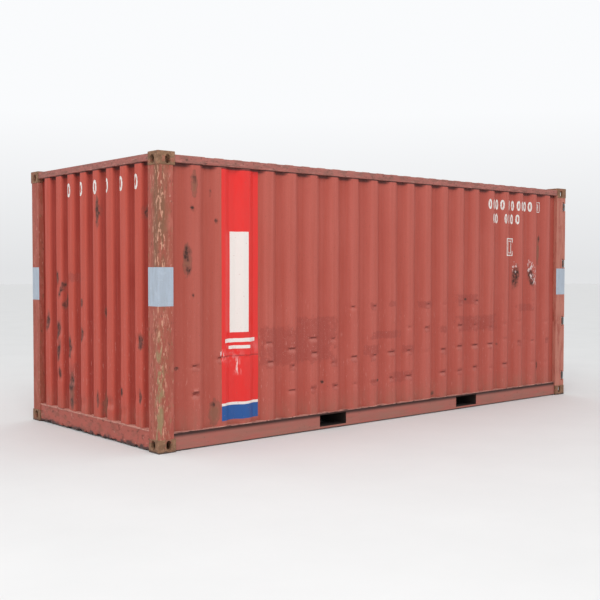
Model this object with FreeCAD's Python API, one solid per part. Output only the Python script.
import FreeCAD, Part
import math
import os

# A closed 20 ft dry-cargo shipping container, 8 ft wide and 8 ft 6 in high.
# Millimetres. +Z is up, X runs along the length, and the origin is at the middle of the base, on the plane
# of the lower corner fittings. The blind front end faces -X and the doors face +X. "Left" is the -Y side.
#
# Many pieces are drawn once in corner measures: "a" is the distance in from an end face of the container
# and "b" the distance in from a side face. at_corner() then sets them at one of the four corners.

V = FreeCAD.Vector
ORIGIN = V(0, 0, 0)
X_PLANE = V(1, 0, 0)
Y_PLANE = V(0, 1, 0)
Z_PLANE = V(0, 0, 1)

# ---- overall size -------------------------------------------------------------------------------------
LENGTH = 6058.0
WIDTH = 2438.0
HEIGHT = 2591.0
HALF_LENGTH = LENGTH / 2
HALF_WIDTH = WIDTH / 2

# ---- corner fittings, hollow castings with a slot or hole in each outer face --------------------------------
FITTING_A = 178.0
FITTING_B = 162.0
FITTING_H = 118.0
FITTING_ROUND = 6.0
SLOT_FACE = 28.5          # thickness of the face with the long slot
SIDE_FACE = 28.0          # thickness of the two outer upright faces
BACK_FACE = 12.0          # thickness of the faces that meet the container
SLOT_LENGTH = 124.0
SLOT_WIDTH = 63.5
SLOT_A = 102.5            # slot centre, in from the end face
SLOT_B = 89.5             # slot centre, in from the side face
HOLE_H = 79.5
SIDE_HOLE_W = 51.0
END_HOLE_W = 63.5

# ---- posts -------------------------------------------------------------------------------------------------
FACE_IN = 5.0             # post faces stand this far inside the fitting faces
POST_FOOT = FITTING_H
POST_TOP = HEIGHT - FITTING_H
FRONT_POST_A = 157.0      # width of the front post's side face, with its setback
FRONT_POST_B = 165.0
FRONT_POST_T = 6.0
FRONT_POST_ROUND = 12.0
SIDE_LIP = 52.0           # depth of the lip that the side wall is welded to
END_LIP = 62.0            # depth of the lip that the front wall is welded to
REAR_OUTER_T = 12.0       # rolled outer channel of the rear post
REAR_INNER_T = 6.0        # pressed inner part of the rear post
REAR_CHANNEL_A = 118.0
REAR_FLANGE_B = 50.0
REAR_POST_A = 190.0
REAR_LIP_B = 56.0

# ---- door hinges ---------------------------------------------------------------------------------------------
HINGE_HEIGHTS = (240.0, 930.0, 1650.0, 2360.0)
PIN_IN = 18.0             # the pin's axis, in from both outer faces
PIN_R = 8.0
KNUCKLE_R = 13.0
KNUCKLE_BORE_R = 8.3
KNUCKLE_HALF_H = 41.0
LUG_INNER = 46.0          # lug faces above and below the hinge's middle height
LUG_OUTER = 62.0
LUG_REACH = 34.0
NOTCH_A = 64.0
BLADE_T = 12.0
BLADE_END_B = 158.0

# ---- rails -----------------------------------------------------------------------------------------------------
TUBE = 60.0               # square tube of the top rails
TUBE_T = 3.0
RAIL_IN = 8.0             # outer faces of the rails, in from the fitting faces
SIDE_RAIL_Z = 2501.0
FRONT_RAIL_Z = 2516.0
SILL_FOOT = 8.0
FRONT_SILL_TOP = 187.0
SILL_T = 4.5
SILL_WEB_IN = 14.0
SILL_FLANGE = 68.0
BOTTOM_RAIL_FOOT = 12.0
BOTTOM_RAIL_TOP = 166.0
BOTTOM_WEB_IN = 24.0
BOTTOM_LEDGE = (10.0, 58.0)
BOTTOM_FOOT_FLANGE = 54.0
RAIL_HALF = HALF_LENGTH - FITTING_A
END_RAIL_HALF = HALF_WIDTH - FITTING_B
SILL_HALF = HALF_WIDTH - FRONT_POST_B
DOOR_RAIL_HALF = HALF_WIDTH - REAR_FLANGE_B

# ---- door frame rails, as outlines in (a, z) ----------------------------------------------------------------
DOOR_FACE = 58.0          # the recessed faces that carry the cam keepers
DOOR_RAIL_BACK = 120.0
DOOR_RAIL_T = 4.0
HEADER_FOOT = 2440.0
HEADER_TOP = 2576.0
DOOR_SILL_TOP = 160.0
HEADER_OUTLINE = [(DOOR_FACE, HEADER_FOOT), (DOOR_RAIL_BACK, HEADER_FOOT), (DOOR_RAIL_BACK, HEADER_TOP),
                  (10, HEADER_TOP), (10, 2535), (DOOR_FACE, 2505)]
DOOR_SILL_OUTLINE = [(10, 12), (DOOR_RAIL_BACK, 12), (DOOR_RAIL_BACK, DOOR_SILL_TOP),
                     (DOOR_FACE, DOOR_SILL_TOP), (DOOR_FACE, 104), (10, 80)]

# ---- ribbed walls ------------------------------------------------------------------------------------------------
SHEET_T = 2.0
SIDE_CREST_IN = 12.0
SIDE_DEPTH = 36.0
SIDE_PITCH = 278.0
SIDE_CREST = 72.0
SIDE_SLOPE = 68.0
SIDE_RIBS = 20
SIDE_SHIFT = 15.0         # the rib pattern sits a little towards the doors
FRONT_CREST_IN = 12.0
FRONT_DEPTH = 45.6
FRONT_PITCH = 250.0
FRONT_CREST = 110.0
FRONT_SLOPE = 18.0
FRONT_RIBS = 8

# ---- roof ----------------------------------------------------------------------------------------------------------
ROOF_BASE = SIDE_RAIL_Z + TUBE
ROOF_PITCH = 209.0
ROOF_CREST = 91.0
ROOF_SLOPE = 13.5
ROOF_RISE = 20.0
ROOF_RIBS = 25
ROOF_RIB_HALF = 1140.0    # half the length of a roof rib at its foot
ROOF_RIB_END = 40.0       # run of the slope at each end of a rib
PLATE_T = 3.0
PLATE_REACH = 400.0
PLATE_WIDTH = 250.0

# ---- floor and under-frame -----------------------------------------------------------------------------------------
MEMBER_FOOT = 26.0
MEMBER_H = 122.0
MEMBER_T = 4.0
MEMBER_TOP_FLANGE = 45.0
MEMBER_FOOT_FLANGE = 40.0
FLOOR_T = 28.0
FLOOR_FOOT = MEMBER_FOOT + MEMBER_H
FLOOR_FRONT = -HALF_LENGTH + 72.0
FLOOR_REAR = HALF_LENGTH - 124.0
FLOOR_HALF = HALF_WIDTH - 60.0
WEB_HALF = HALF_WIDTH - BOTTOM_WEB_IN - SILL_T
POCKET_CENTRES = (-965.0, 1115.0)
POCKET_W = 360.0
POCKET_Z = (30.0, 145.0)
POCKET_SIDE_T = 6.0
POCKET_STRAP = 200.0
MEMBER_BAYS = ((-2840.0, -1200.0, 6), (-735.0, 845.0, 6), (1345.0, 2790.0, 6))

# ---- door leaves, in corner measures from the rear end and one side ------------------------------------------------
LEAF_B = (60.0, HALF_WIDTH - 5.0)
LEAF_A = (60.0, 110.0)
LEAF_Z = (172.0, 2428.0)
STILE = 100.0
CROSS_RAIL = 150.0
LEAF_TUBE_T = 3.2
PANEL_CREST_A = 62.0
PANEL_DEPTH = 36.0
PANEL_GROOVES = (300.0, 580.0, 860.0)
GROOVE_FLAT = 90.0
GROOVE_SLOPE = 25.0
GASKET_A = (110.0, 118.0)
GASKET_LIP = 5.0
GASKET_WIDTH = 25.0
ROD_B = (300.0, 860.0)
ROD_A = 32.0
ROD_R = 17.0
ROD_BORE_R = 14.0
ROD_Z = (118.0, 2498.0)
CAM_H = 38.0
CAM_A = (13.0, 47.0)
CAM_HALF_B = 20.0
KEEPER_BASE_T = 4.0
KEEPER_GAP = 30.0
KEEPER_LUG = 10.0
KEEPER_A = 14.0
GUIDE_HEIGHTS = (250.0, 900.0, 1700.0, 2350.0)
GUIDE_HALF_B = 75.0
GUIDE_HALF_H = 25.0
SADDLE_HALF_B = 24.0
SADDLE_HALF_H = 18.0
SADDLE_A = 7.0
HANDLE_Z = (1080.0, 1260.0)
HANDLE_REACH = 460.0
HANDLE_A = (16.0, 28.0)
HANDLE_HALF_H = 16.0
HUB_HALF_B = 26.0
HUB_HALF_H = 30.0
CATCH_B = (700.0, 440.0)


def block(x0, x1, y0, y1, z0, z1):
    """A solid block between two limits on each axis."""
    return Part.makeBox(x1 - x0, y1 - y0, z1 - z0, V(x0, y0, z0))


def face(points):
    return Part.Face(Part.makePolygon(points + points[:1]))


def upright(outline, z0, z1):
    """A closed outline of (x, y) points, raised from z0 to z1."""
    return face([V(x, y, z0) for x, y in outline]).extrude(V(0, 0, z1 - z0))


def lengthwise(outline, x0, x1):
    """A closed outline of (y, z) points, run along X."""
    return face([V(x0, y, z) for y, z in outline]).extrude(V(x1 - x0, 0, 0))


def crosswise(outline, y0, y1):
    """A closed outline of (x, z) points, run along Y."""
    return face([V(x, y0, z) for x, z in outline]).extrude(V(0, y1 - y0, 0))


def joined(first, *others):
    """One solid from pieces that meet, with the seams between coplanar faces taken out."""
    return first.multiFuse(list(others)).removeSplitter()


def direction(start, end):
    length = math.hypot(end[0] - start[0], end[1] - start[1])
    return (end[0] - start[0]) / length, (end[1] - start[1]) / length


def folded(path, thickness):
    """The closed outline of a sheet folded along a path, with its thickness to the left of the path."""
    last = len(path) - 1
    inner = []
    for i, (x, y) in enumerate(path):
        ux, uy = direction(path[max(i - 1, 0)], path[max(i, 1)])
        vx, vy = direction(path[min(i, last - 1)], path[min(i + 1, last)])
        mitre = thickness / (1 + ux * vx + uy * vy)
        inner.append((x - (uy + vy) * mitre, y + (ux + vx) * mitre))
    return path + inner[::-1]


def ribs(start, end, centres, flat, slope, rib_level, base_level):
    """The path of a ribbed sheet: from start to end at base_level, with a rib at each centre."""
    path = [(start, base_level)]
    for centre in centres:
        path.append((centre - flat / 2 - slope, base_level))
        path.append((centre - flat / 2, rib_level))
        path.append((centre + flat / 2, rib_level))
        path.append((centre + flat / 2 + slope, base_level))
    return path + [(end, base_level)]


def evenly(count, pitch, shift=0.0):
    """Centres at one pitch, spread evenly about the shift."""
    return [shift + (i - (count - 1) / 2) * pitch for i in range(count)]


def at_corner(shape, end, side):
    """Take a shape drawn in corner measures to one of the four corners."""
    placed = shape.translated(V(-HALF_LENGTH, -HALF_WIDTH, 0))
    if end == "rear":
        placed = placed.mirror(ORIGIN, X_PLANE)
    if side == "right":
        placed = placed.mirror(ORIGIN, Y_PLANE)
    return placed


def clear_of_fittings(shape):
    """Take out of a shape whatever the eight corner fittings fill."""
    for z0 in (0, POST_TOP):
        filled = block(0, FITTING_A, 0, FITTING_B, z0, z0 + FITTING_H)
        for end in ("front", "rear"):
            for side in ("left", "right"):
                shape = shape.cut(at_corner(filled, end, side))
    return shape


def to_right(shape):
    return shape.mirror(ORIGIN, Y_PLANE)


def save(name, *solids):
    """Write one node, and print how many solids it has and what they weigh at steel's density."""
    shape = solids[0] if len(solids) == 1 else Part.makeCompound(list(solids))
    shape.exportStep(f"parts/{name}.step")
    valid = all(s.isValid() and s.Volume > 0 for s in solids)
    print(f"{name:26s} solids {len(shape.Solids):2d}  {shape.Volume * 7.85e-6:8.1f} kg as steel  valid {valid}")


# ---- corner fittings ---------------------------------------------------------------------------------------
def long_hole(centre, length, width, depth, long_way, through):
    """A cutter with round ends: a bar between two cylinders, long one way and pushed through a wall."""
    reach = (length - width) / 2
    ends = [centre + long_way * reach, centre - long_way * reach]
    cutter = Part.makeCylinder(width / 2, depth, ends[0], through)
    cutter = cutter.fuse(Part.makeCylinder(width / 2, depth, ends[1], through))
    across = long_way.cross(through) * (width / 2)
    corners = [ends[0] + across, ends[0] - across, ends[1] - across, ends[1] + across]
    return cutter.fuse(face(corners).extrude(through * depth))


def corner_fitting():
    """The lower fitting in corner measures: its slot opens downwards, its two holes outwards."""
    body = block(0, FITTING_A, 0, FITTING_B, 0, FITTING_H)
    body = body.makeFillet(FITTING_ROUND, body.Edges)
    body = body.cut(block(SIDE_FACE, FITTING_A - BACK_FACE, SIDE_FACE, FITTING_B - BACK_FACE,
                          SLOT_FACE, SLOT_FACE + HOLE_H))
    hole_z = SLOT_FACE + HOLE_H / 2
    slot = long_hole(V(SLOT_A, SLOT_B, -1), SLOT_LENGTH, SLOT_WIDTH, SLOT_FACE + 2, X_PLANE, Z_PLANE)
    side = long_hole(V(SLOT_A, -1, hole_z), HOLE_H, SIDE_HOLE_W, SIDE_FACE + 2, Z_PLANE, Y_PLANE)
    end = long_hole(V(-1, SLOT_B, hole_z), HOLE_H, END_HOLE_W, SIDE_FACE + 2, Z_PLANE, X_PLANE)
    return body.cut(slot).cut(side).cut(end)


def make_corner_fittings():
    low = corner_fitting()
    high = low.mirror(V(0, 0, HEIGHT / 2), Z_PLANE)
    for end in ("front", "rear"):
        for side in ("left", "right"):
            save(f"{end}_{side}_bottom_fitting", at_corner(low, end, side))
            save(f"{end}_{side}_top_fitting", at_corner(high, end, side))


# ---- posts ----------------------------------------------------------------------------------------------------
def front_post():
    """One pressed plate: a lip for the front wall, the end face, the side face, a lip for the side wall."""
    path = [(END_LIP, FRONT_POST_B), (FACE_IN, FRONT_POST_B), (FACE_IN, FACE_IN),
            (FRONT_POST_A, FACE_IN), (FRONT_POST_A, SIDE_LIP)]
    post = upright(folded(path, FRONT_POST_T), POST_FOOT, POST_TOP)
    outer_corner = [edge for edge in post.Edges
                    if all(abs(v.X - FACE_IN) < 0.1 and abs(v.Y - FACE_IN) < 0.1 for v in edge.Vertexes)]
    return post.makeFillet(FRONT_POST_ROUND, outer_corner)


def hinge_lug(z0, z1):
    lug = block(FACE_IN, LUG_REACH, FACE_IN, LUG_REACH, z0, z1)
    return lug.cut(Part.makeCylinder(PIN_R, z1 - z0, V(PIN_IN, PIN_IN, z0)))


def rear_post():
    """A thick outer channel open towards the door, a pressed box behind it, and lugs in four notches."""
    near, far = FACE_IN, REAR_CHANNEL_A
    flange = block(near, near + REAR_OUTER_T, near, REAR_FLANGE_B, POST_FOOT, POST_TOP)
    web = block(near, far, near, near + REAR_OUTER_T, POST_FOOT, POST_TOP)
    stop = block(far - REAR_OUTER_T, far, near, REAR_FLANGE_B, POST_FOOT, POST_TOP)
    skin = block(far, REAR_POST_A, near, near + REAR_INNER_T, POST_FOOT, SIDE_RAIL_Z)
    inner = block(far, REAR_POST_A, REAR_FLANGE_B - REAR_INNER_T, REAR_FLANGE_B, POST_FOOT, SIDE_RAIL_Z)
    lip = block(REAR_POST_A - REAR_INNER_T, REAR_POST_A, near, REAR_LIP_B, POST_FOOT, SIDE_RAIL_Z)
    post = joined(flange, web, stop, skin, inner, lip)
    post = post.cut(block(0, FITTING_A, 0, FITTING_B, POST_TOP, HEIGHT))
    for height in HINGE_HEIGHTS:
        post = post.cut(block(0, NOTCH_A, 0, REAR_FLANGE_B, height - LUG_OUTER, height + LUG_OUTER))
    lugs = [hinge_lug(height + low, height + high) for height in HINGE_HEIGHTS
            for low, high in ((-LUG_OUTER, -LUG_INNER), (LUG_INNER, LUG_OUTER))]
    return joined(post, *lugs)


def hinge_pins():
    return [Part.makeCylinder(PIN_R, 2 * LUG_OUTER, V(PIN_IN, PIN_IN, height - LUG_OUTER))
            for height in HINGE_HEIGHTS]


def make_posts():
    for side in ("left", "right"):
        save(f"front_{side}_post", at_corner(front_post(), "front", side))
        save(f"rear_{side}_post", at_corner(rear_post(), "rear", side))
        save(f"{side}_hinge_pins", *[at_corner(pin, "rear", side) for pin in hinge_pins()])


# ---- rails ----------------------------------------------------------------------------------------------------
def square_tube(start, z0):
    """The outline of a square tube and of its bore, as (distance in, z) points."""
    def square(inset):
        low, high = start + inset, start + TUBE - inset
        return [(low, z0 + inset), (high, z0 + inset), (high, z0 + TUBE - inset), (low, z0 + TUBE - inset)]
    return square(0), square(TUBE_T)


def top_side_rail():
    outer, bore = square_tube(-HALF_WIDTH + RAIL_IN, SIDE_RAIL_Z)
    return lengthwise(outer, -RAIL_HALF, RAIL_HALF).cut(lengthwise(bore, -RAIL_HALF, RAIL_HALF))


def front_top_rail():
    outer, bore = square_tube(-HALF_LENGTH + RAIL_IN, FRONT_RAIL_Z)
    return crosswise(outer, -END_RAIL_HALF, END_RAIL_HALF).cut(crosswise(bore, -END_RAIL_HALF, END_RAIL_HALF))


def bottom_side_rail():
    """An upright web under an outward ledge that carries the wall, with an inward foot flange."""
    side = -HALF_WIDTH
    span = (-HALF_LENGTH + FRONT_POST_A, RAIL_HALF)
    web = block(*span, side + BOTTOM_WEB_IN, side + BOTTOM_WEB_IN + SILL_T, BOTTOM_RAIL_FOOT, BOTTOM_RAIL_TOP)
    ledge = block(*span, side + BOTTOM_LEDGE[0], side + BOTTOM_LEDGE[1],
                  BOTTOM_RAIL_TOP - SILL_T, BOTTOM_RAIL_TOP)
    foot = block(*span, side + BOTTOM_WEB_IN, side + BOTTOM_FOOT_FLANGE,
                 BOTTOM_RAIL_FOOT, BOTTOM_RAIL_FOOT + SILL_T)
    rail = joined(web, ledge, foot)
    for centre in POCKET_CENTRES:
        rail = rail.cut(block(centre - POCKET_W / 2, centre + POCKET_W / 2, side, side + BOTTOM_LEDGE[1],
                              *POCKET_Z))
    rear_post = block(0, REAR_POST_A, 0, FITTING_B, POST_FOOT, BOTTOM_RAIL_TOP)
    return clear_of_fittings(rail.cut(at_corner(rear_post, "rear", "left")))


def front_sill():
    """A channel open towards the floor, its top flange standing a little proud as a ledge for the wall."""
    end = -HALF_LENGTH
    span = (-SILL_HALF, SILL_HALF)
    web = block(end + SILL_WEB_IN, end + SILL_WEB_IN + SILL_T, *span, SILL_FOOT, FRONT_SILL_TOP)
    top = block(end + RAIL_IN, end + SILL_FLANGE, *span, FRONT_SILL_TOP - SILL_T, FRONT_SILL_TOP)
    foot = block(end + SILL_WEB_IN, end + SILL_FLANGE, *span, SILL_FOOT, SILL_FOOT + SILL_T)
    return joined(web, top, foot)


def door_rail(outline):
    """A folded box section from post to post; its outline runs anticlockwise in (a, z)."""
    def ring(points, wall):
        count = len(points)
        inset = []
        for i, (a, z) in enumerate(points):
            ux, uz = direction(points[i - 1], (a, z))
            vx, vz = direction((a, z), points[(i + 1) % count])
            mitre = wall / (1 + ux * vx + uz * vz)
            inset.append((a - (uz + vz) * mitre, z + (ux + vx) * mitre))
        return inset
    def placed(points):
        return [(HALF_LENGTH - a, z) for a, z in points]
    solid = crosswise(placed(outline), -DOOR_RAIL_HALF, DOOR_RAIL_HALF)
    bore = crosswise(placed(ring(outline, DOOR_RAIL_T)), -DOOR_RAIL_HALF, DOOR_RAIL_HALF)
    return clear_of_fittings(solid.cut(bore))


def cam_keepers():
    """A small open fork for each lock rod end, on the faces of the header and the sill."""
    keepers = []
    base_b = KEEPER_GAP + KEEPER_LUG
    for rod in ROD_B:
        for low in (ROD_Z[0], ROD_Z[1] - CAM_H):
            base = block(DOOR_FACE - KEEPER_BASE_T, DOOR_FACE, rod - base_b, rod + base_b, low, low + CAM_H)
            lugs = [block(KEEPER_A, DOOR_FACE, edge, edge + KEEPER_LUG, low, low + CAM_H)
                    for edge in (rod - base_b, rod + KEEPER_GAP)]
            keeper = joined(base, *lugs)
            keepers += [at_corner(keeper, "rear", "left"), at_corner(keeper, "rear", "right")]
    return keepers


def make_rails():
    save("left_top_rail", top_side_rail())
    save("right_top_rail", to_right(top_side_rail()))
    save("left_bottom_rail", bottom_side_rail())
    save("right_bottom_rail", to_right(bottom_side_rail()))
    save("front_top_rail", front_top_rail())
    save("front_sill", front_sill())
    save("door_header", door_rail(HEADER_OUTLINE))
    save("door_sill", door_rail(DOOR_SILL_OUTLINE))
    save("cam_keepers", *cam_keepers())


# ---- walls and roof ----------------------------------------------------------------------------------------------
def side_wall():
    path = ribs(-HALF_LENGTH + FRONT_POST_A, HALF_LENGTH - REAR_POST_A,
                evenly(SIDE_RIBS, SIDE_PITCH, SIDE_SHIFT), SIDE_CREST, SIDE_SLOPE,
                -HALF_WIDTH + SIDE_CREST_IN, -HALF_WIDTH + SIDE_CREST_IN + SIDE_DEPTH)
    return clear_of_fittings(upright(folded(path, SHEET_T), BOTTOM_RAIL_TOP, SIDE_RAIL_Z))


def front_wall():
    edge = HALF_WIDTH - FRONT_POST_B
    path = ribs(-edge, edge, evenly(FRONT_RIBS, FRONT_PITCH), FRONT_CREST, FRONT_SLOPE,
                -HALF_LENGTH + FRONT_CREST_IN, -HALF_LENGTH + FRONT_CREST_IN + FRONT_DEPTH)
    outline = [(x, y) for y, x in folded(path, SHEET_T)]
    return upright(outline, FRONT_SILL_TOP, FRONT_RAIL_Z)


def roof_rib(centre):
    """A raised rib across the roof, sloping down on all four sides to the flat sheet."""
    def ring(half_x, half_y, z):
        corners = [V(centre - half_x, -half_y, z), V(centre + half_x, -half_y, z),
                   V(centre + half_x, half_y, z), V(centre - half_x, half_y, z)]
        return Part.makePolygon(corners + corners[:1])
    foot = ring(ROOF_CREST / 2 + ROOF_SLOPE, ROOF_RIB_HALF, ROOF_BASE + SHEET_T)
    crest = ring(ROOF_CREST / 2, ROOF_RIB_HALF - ROOF_RIB_END, ROOF_BASE + SHEET_T + ROOF_RISE)
    return Part.makeLoft([foot, crest], True, True)


def roof():
    """A pressed sheet: the flat block with its ribs, less the same shape one sheet thickness lower."""
    front = -HALF_LENGTH + RAIL_IN + TUBE
    rear = HALF_LENGTH - DOOR_RAIL_BACK
    half = HALF_WIDTH - RAIL_IN
    block_foot = ROOF_BASE - ROOF_RISE
    pressed = block(front, rear, -half, half, block_foot, ROOF_BASE + SHEET_T)
    pressed = pressed.multiFuse([roof_rib(centre) for centre in evenly(ROOF_RIBS, ROOF_PITCH)])
    sheet = pressed.cut(pressed.translated(V(0, 0, -SHEET_T)))
    return clear_of_fittings(sheet).removeSplitter()


def roof_corner_plate():
    """A doubling plate beside a top fitting, with its inner corner cut off."""
    cut = (PLATE_REACH - FITTING_A) / 2
    outline = [(FITTING_A, RAIL_IN), (PLATE_REACH, RAIL_IN), (PLATE_REACH, PLATE_WIDTH - cut),
               (PLATE_REACH - cut, PLATE_WIDTH), (FITTING_A, PLATE_WIDTH)]
    low = ROOF_BASE + SHEET_T
    return upright(outline, low, low + PLATE_T)


def make_skin():
    save("left_wall", side_wall())
    save("right_wall", to_right(side_wall()))
    save("front_wall", front_wall())
    save("roof", roof())
    save("roof_corner_plates", *[at_corner(roof_corner_plate(), end, side)
                                 for end in ("front", "rear") for side in ("left", "right")])


# ---- floor and under-frame ---------------------------------------------------------------------------------------
def cross_member(x):
    """A folded channel from web to web of the bottom rails, open towards the doors."""
    top = MEMBER_FOOT + MEMBER_H
    outline = [(x, MEMBER_FOOT), (x + MEMBER_FOOT_FLANGE, MEMBER_FOOT),
               (x + MEMBER_FOOT_FLANGE, MEMBER_FOOT + MEMBER_T), (x + MEMBER_T, MEMBER_FOOT + MEMBER_T),
               (x + MEMBER_T, top - MEMBER_T), (x + MEMBER_TOP_FLANGE, top - MEMBER_T),
               (x + MEMBER_TOP_FLANGE, top), (x, top)]
    return crosswise(outline, -WEB_HALF, WEB_HALF)


def fork_pocket(centre):
    """A tunnel right across for a fork: two side plates, a top plate, and a strap below each end."""
    inner, outer = POCKET_W / 2, POCKET_W / 2 + POCKET_SIDE_T
    low, high = POCKET_Z
    top = block(centre - outer, centre + outer, -WEB_HALF, WEB_HALF, high, FLOOR_FOOT)
    sides = [block(x, x + POCKET_SIDE_T, -WEB_HALF, WEB_HALF, MEMBER_FOOT, FLOOR_FOOT)
             for x in (centre - outer, centre + inner)]
    straps = [block(centre - outer, centre + outer, y, y + POCKET_STRAP, MEMBER_FOOT, low)
              for y in (-WEB_HALF, WEB_HALF - POCKET_STRAP)]
    return joined(top, *sides, *straps)


def make_underframe():
    members = []
    for start, end, count in MEMBER_BAYS:
        step = (end - start) / (count - 1)
        members += [cross_member(start + i * step) for i in range(count)]
    save("cross_members", *members)
    save("fork_pockets", *[fork_pocket(centre) for centre in POCKET_CENTRES])
    save("floor", block(FLOOR_FRONT, FLOOR_REAR, -FLOOR_HALF, FLOOR_HALF, FLOOR_FOOT, FLOOR_FOOT + FLOOR_T))


# ---- door leaves, drawn in corner measures --------------------------------------------------------------------------
def leaf_stile(b0):
    """An upright box tube of the leaf's frame."""
    wall = LEAF_TUBE_T
    tube = block(*LEAF_A, b0, b0 + STILE, *LEAF_Z)
    return tube.cut(block(LEAF_A[0] + wall, LEAF_A[1] - wall, b0 + wall, b0 + STILE - wall, *LEAF_Z))


def leaf_rail(z0):
    """A channel across the leaf, its web outwards."""
    wall = LEAF_TUBE_T
    b0, b1 = LEAF_B[0] + STILE, LEAF_B[1] - STILE
    channel = block(*LEAF_A, b0, b1, z0, z0 + CROSS_RAIL)
    return channel.cut(block(LEAF_A[0] + wall, LEAF_A[1], b0, b1, z0 + wall, z0 + CROSS_RAIL - wall))


def leaf_frame():
    return joined(leaf_stile(LEAF_B[0]), leaf_stile(LEAF_B[1] - STILE),
                  leaf_rail(LEAF_Z[0]), leaf_rail(LEAF_Z[1] - CROSS_RAIL))


def leaf_panel():
    """A sheet with upright grooves, two of them behind the lock rods."""
    path = ribs(LEAF_B[0] + STILE, LEAF_B[1] - STILE, PANEL_GROOVES, GROOVE_FLAT, GROOVE_SLOPE,
                PANEL_CREST_A + PANEL_DEPTH, PANEL_CREST_A)
    outline = [(a, b) for b, a in folded(path, SHEET_T)]
    return upright(outline, LEAF_Z[0] + CROSS_RAIL, LEAF_Z[1] - CROSS_RAIL)


def leaf_gasket():
    """A flat ring behind the frame, its lip past the frame's edge at the hinge side, the top and the foot."""
    b0, b1 = LEAF_B[0] - GASKET_LIP, LEAF_B[1] - 1
    z0, z1 = LEAF_Z[0] - GASKET_LIP, LEAF_Z[1] + GASKET_LIP
    ring = block(*GASKET_A, b0, b1, z0, z1)
    return ring.cut(block(*GASKET_A, b0 + GASKET_WIDTH, b1 - GASKET_WIDTH, z0 + GASKET_WIDTH, z1 - GASKET_WIDTH))


def leaf_hinge(height):
    """A cranked blade from the leaf's face out to a knuckle on the pin."""
    near = PIN_IN - BLADE_T / 2
    far = LEAF_A[0] - BLADE_T
    outline = [(near, PIN_IN), (near, PIN_IN + 16), (far, LEAF_B[0] + 6), (far, BLADE_END_B),
               (LEAF_A[0], BLADE_END_B), (LEAF_A[0], LEAF_B[0]), (near + BLADE_T, PIN_IN + 10),
               (near + BLADE_T, PIN_IN)]
    low, high = height - KNUCKLE_HALF_H, height + KNUCKLE_HALF_H
    knuckle = Part.makeCylinder(KNUCKLE_R, high - low, V(PIN_IN, PIN_IN, low))
    bore = Part.makeCylinder(KNUCKLE_BORE_R, high - low, V(PIN_IN, PIN_IN, low))
    return joined(upright(outline, low, high), knuckle).cut(bore)


def lock_rod(b):
    """A pipe with a cam at each end."""
    length = ROD_Z[1] - ROD_Z[0]
    pipe = Part.makeCylinder(ROD_R, length, V(ROD_A, b, ROD_Z[0]))
    cams = [block(*CAM_A, b - CAM_HALF_B, b + CAM_HALF_B, low, low + CAM_H)
            for low in (ROD_Z[0], ROD_Z[1] - CAM_H)]
    return joined(pipe, *cams).cut(Part.makeCylinder(ROD_BORE_R, length, V(ROD_A, b, ROD_Z[0])))


def rod_guide(b, z, on_panel):
    """A base plate across the rod's groove and a saddle round the rod."""
    back = PANEL_CREST_A if on_panel else LEAF_A[0]
    base = block(LEAF_A[0] - 6, back, b - GUIDE_HALF_B, b + GUIDE_HALF_B, z - GUIDE_HALF_H, z + GUIDE_HALF_H)
    saddle = block(SADDLE_A, LEAF_A[0] - 6, b - SADDLE_HALF_B, b + SADDLE_HALF_B,
                   z - SADDLE_HALF_H, z + SADDLE_HALF_H)
    bore = Part.makeCylinder(ROD_R + 0.5, 2 * GUIDE_HALF_H, V(ROD_A, b, z - GUIDE_HALF_H))
    return joined(base, saddle).cut(bore)


def handle_catch(b, z):
    """A hooked bracket that the end of a handle lies in."""
    plate = block(LEAF_A[0] - 6, PANEL_CREST_A, b - 30, b + 30, z - 40, z + 40)
    arm = block(HANDLE_A[0] - 8, LEAF_A[0] - 6, b - 15, b + 15, z - HANDLE_HALF_H - 10, z - HANDLE_HALF_H - 2)
    hook = block(HANDLE_A[0] - 8, HANDLE_A[0] - 3, b - 15, b + 15, z - HANDLE_HALF_H - 2, z)
    return joined(plate, arm, hook)


def leaf_handle(b, z, towards):
    """A hub clamped on the rod and a flat lever; towards is +1 for the lock side, -1 for the hinge side."""
    hub = block(SADDLE_A + 3, LEAF_A[0] - 6, b - HUB_HALF_B, b + HUB_HALF_B, z - HUB_HALF_H, z + HUB_HALF_H)
    hub = hub.cut(Part.makeCylinder(ROD_R + 0.5, 2 * HUB_HALF_H, V(ROD_A, b, z - HUB_HALF_H)))
    ends = sorted((b + towards * HUB_HALF_B, b + towards * HANDLE_REACH))
    lever = block(*HANDLE_A, *ends, z - HANDLE_HALF_H, z + HANDLE_HALF_H)
    return joined(hub, lever)


def make_door_leaves():
    guides = [rod_guide(b, z, z in GUIDE_HEIGHTS[1:-1]) for b in ROD_B for z in GUIDE_HEIGHTS]
    catches = [handle_catch(b, z) for b, z in zip(CATCH_B, HANDLE_Z)]
    handles = [leaf_handle(b, z, towards) for b, z, towards in zip(ROD_B, HANDLE_Z, (1, -1))]
    pieces = {"frame": [leaf_frame()], "panel": [leaf_panel()], "gasket": [leaf_gasket()],
              "hinges": [leaf_hinge(height) for height in HINGE_HEIGHTS],
              "lock_rods": [lock_rod(b) for b in ROD_B], "brackets": guides + catches, "handles": handles}
    for side in ("left", "right"):
        for name, solids in pieces.items():
            save(f"{side}_door_{name}", *[at_corner(solid, "rear", side) for solid in solids])


os.makedirs("parts", exist_ok=True)
make_corner_fittings()
make_posts()
make_rails()
make_skin()
make_underframe()
make_door_leaves()
